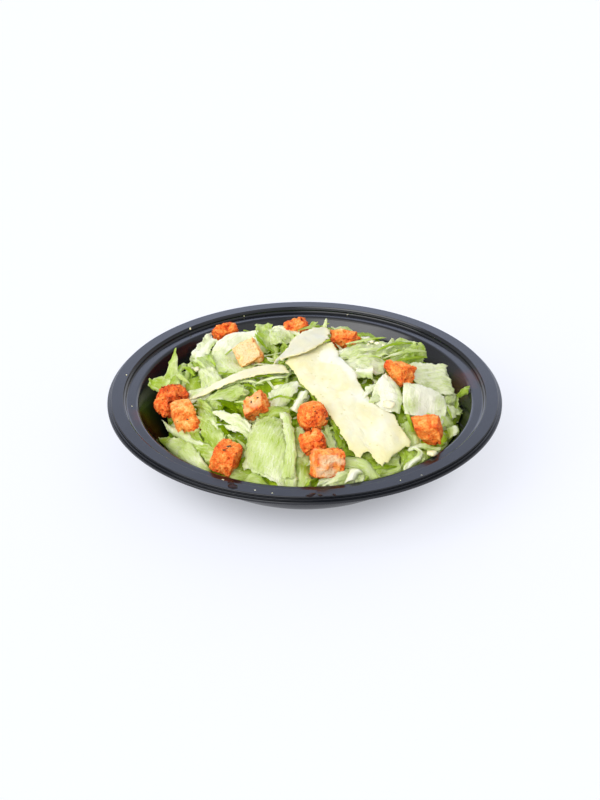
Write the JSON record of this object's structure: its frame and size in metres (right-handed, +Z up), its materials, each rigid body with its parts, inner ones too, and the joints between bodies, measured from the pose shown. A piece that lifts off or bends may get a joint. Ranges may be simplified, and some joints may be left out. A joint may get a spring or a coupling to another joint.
{
  "type": "caesar salad",
  "caption": "Chopped lettuce heaped in a round black takeaway bowl with a wide flat rim, topped with toasted bread cubes and shaved hard cheese.",
  "frame": {"origin": "on the floor under the middle of the bowl", "axes": "+Z up out of the bowl; -Y is the side seen in front; +X to the right"},
  "size_m": [0.21, 0.21, 0.0611],
  "materials": {
    "bowl_plastic": "black moulded polypropylene with a soft satin gloss",
    "lettuce": "moist chopped iceberg lettuce, white-green ribs to light green leaf",
    "crouton": "rough toasted bread with orange-red seasoning",
    "cheese": "pale cream shaved hard cheese, slightly waxy"
  },
  "bodies": {
    "root": {"bowl": "bowl_plastic", "lettuce_heap": "lettuce", "crouton_01": "crouton", "crouton_02": "crouton", "crouton_03": "crouton", "crouton_04": "crouton", "crouton_05": "crouton", "crouton_06": "crouton", "crouton_07": "crouton", "crouton_08": "crouton", "crouton_09": "crouton", "crouton_10": "crouton", "crouton_11": "crouton", "crouton_12": "crouton", "crouton_13": "crouton", "shaving_wide": "cheese", "shaving_upper": "cheese", "shaving_ribbon": "cheese"}
  },
  "joints": []
}
